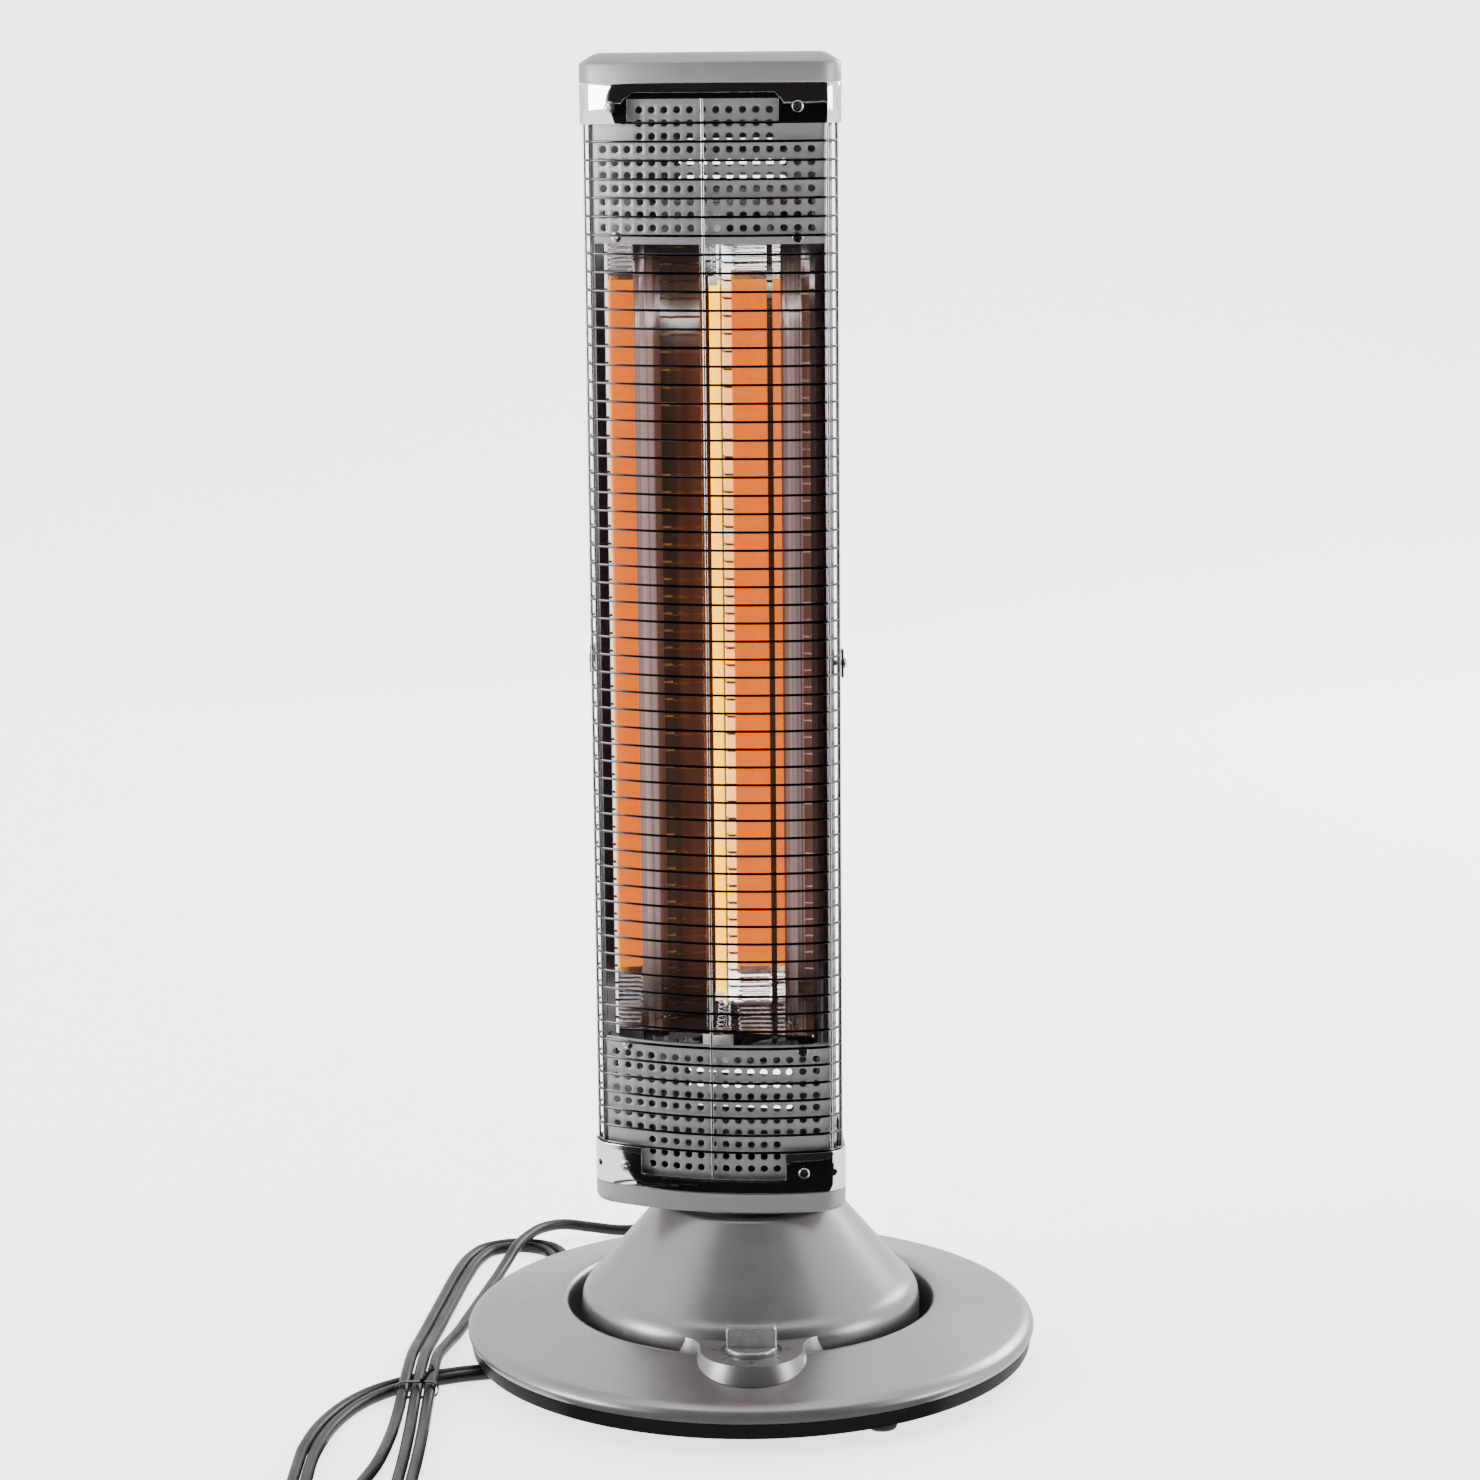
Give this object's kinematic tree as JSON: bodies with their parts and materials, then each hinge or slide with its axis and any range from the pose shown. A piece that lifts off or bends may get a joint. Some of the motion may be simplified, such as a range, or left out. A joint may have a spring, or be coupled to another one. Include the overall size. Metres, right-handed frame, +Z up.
{
  "type": "swivelling column radiant heater",
  "caption": "Silver column heater with a wire guard over one glowing carbon lamp, on a round base with a dial and coiled black cord.",
  "frame": {"origin": "centre of the base on the floor, at the height of the undersides of the feet", "axes": "+Z up along the swivel axis, -Y towards the control dial at the front, +X to the right when seen from the front"},
  "size_m": [0.4006, 0.5912, 0.7268],
  "materials": {
    "silver_paint": "satin metallic",
    "chrome_plate": "polished",
    "black_plastic": "fine texture",
    "mirror_sheet": "bright anodised reflector sheet",
    "clear_quartz": "clear",
    "glowing_carbon": "glowing",
    "white_ceramic": "unglazed ceramic",
    "natural_nylon": "moulded",
    "cast_ballast": "as cast",
    "black_rubber": "satin",
    "bare_steel": "zinc plated"
  },
  "bodies": {
    "base": {"base_tray": "black_plastic", "base_ring": "silver_paint", "pedestal_cover": "silver_paint", "ballast_ring": "cast_ballast", "foot_1": "black_rubber", "foot_2": "black_rubber", "foot_3": "black_rubber", "foot_4": "black_rubber", "rotary_switch": "black_plastic", "tip_switch": "black_plastic", "terminal_block": "natural_nylon", "swing_motor": "bare_steel", "swivel_bearing": "bare_steel", "cord_gland": "black_rubber", "cord_lead": "black_rubber", "cord_hank": "black_rubber", "cord_tie": "black_rubber", "mains_plug": "black_rubber"},
    "column": {"swivel_tube": "bare_steel", "swing_horn": "bare_steel", "swivel_washer": "natural_nylon", "bottom_cap": "silver_paint", "top_cap": "silver_paint", "lower_frame": "chrome_plate", "upper_frame": "chrome_plate", "wire_guard": "chrome_plate", "lower_panel": "silver_paint", "upper_panel": "silver_paint", "reflector": "mirror_sheet", "reflector_end_lower": "mirror_sheet", "reflector_end_upper": "mirror_sheet", "quartz_tube": "clear_quartz", "carbon_strand": "glowing_carbon", "lamp_cap_lower": "white_ceramic", "lamp_holder_lower": "bare_steel", "lamp_cap_upper": "white_ceramic", "lamp_holder_upper": "bare_steel", "rear_cover": "silver_paint", "lower_frame_screw_left": "bare_steel", "upper_frame_screw_left": "bare_steel", "lower_panel_screw_left": "bare_steel", "upper_panel_screw_left": "bare_steel", "lower_frame_screw_right": "bare_steel", "upper_frame_screw_right": "bare_steel", "lower_panel_screw_right": "bare_steel", "upper_panel_screw_right": "bare_steel", "guard_clamp_left": "chrome_plate", "side_screw_left": "bare_steel", "guard_clamp_right": "chrome_plate", "side_screw_right": "bare_steel"},
    "knob": {"control_knob": "chrome_plate"},
    "plunger": {"tip_plunger": "natural_nylon"},
    "arm": {"swing_arm": "bare_steel"},
    "link": {"swing_link": "bare_steel"}
  },
  "joints": [
    {"name": "column_swing", "type": "hinge", "parent": "base", "child": "column", "pos_m": [0, 0, 0.0945], "axis": [0, 0, 1], "range_deg": [-29.5, 50.5]},
    {"name": "knob_turn", "type": "hinge", "parent": "base", "child": "knob", "pos_m": [0, -0.1075, 0.0398], "axis": [0, 0, 1], "range_deg": [-90, 90]},
    {"name": "tip_plunger_slide", "type": "slide", "parent": "base", "child": "plunger", "axis": [0, 0, -1], "range_m": [0, 0.005], "stiffness_N_per_m": 60},
    {"name": "swing_arm_turn", "type": "hinge", "parent": "base", "child": "arm", "pos_m": [0, 0.04, 0.045], "axis": [0, 0, 1], "range_deg": [-31, 52]},
    {"name": "swing_link_turn", "type": "hinge", "parent": "arm", "child": "link", "pos_m": [0.0354, 0.03344, 0.048], "axis": [0, 0, 1], "range_deg": [-52, 31]}
  ],
  "couplings": [
    {"joint": "swing_arm_turn", "follows": "column_swing", "ratio": 1},
    {"joint": "swing_link_turn", "follows": "column_swing", "ratio": -1}
  ]
}
